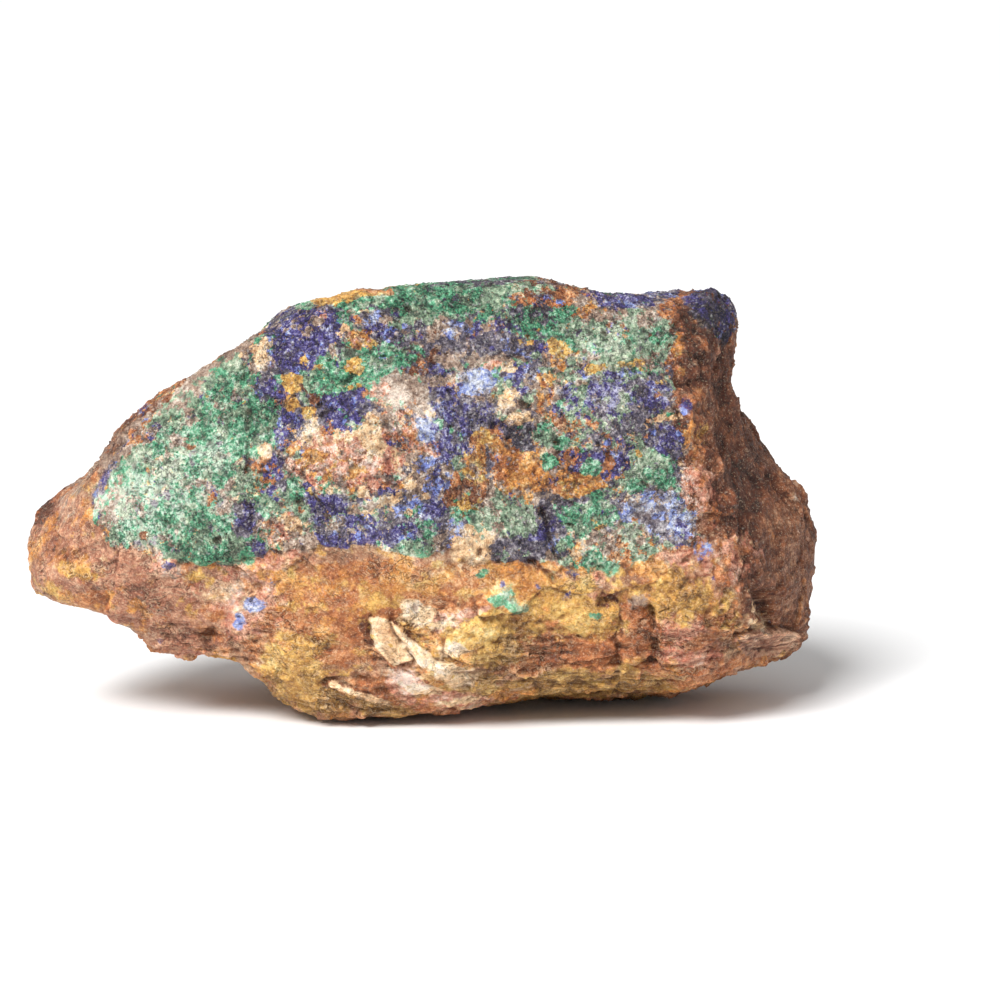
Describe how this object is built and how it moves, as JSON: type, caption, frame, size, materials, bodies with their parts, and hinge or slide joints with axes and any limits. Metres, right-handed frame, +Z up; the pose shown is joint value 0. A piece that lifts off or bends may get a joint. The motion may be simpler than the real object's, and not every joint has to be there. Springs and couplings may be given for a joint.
{
  "type": "malachite specimen",
  "caption": "Free-standing mineral hand specimen: a wedge-shaped block of iron-stained rock with a malachite and azurite crust on its front face.",
  "frame": {"origin": "middle of the rock in plan, at the height of the flat foot that it rests on", "axes": "+X along the long axis towards the blunt end, -Y out of the crusted front face, +Z up"},
  "size_m": [0.18, 0.0874, 0.0973],
  "materials": {
    "rock": "rough iron-stained stone with a sparkling green malachite and deep blue azurite crust"
  },
  "bodies": {
    "root": {"malachite_rock": "rock"}
  },
  "joints": []
}
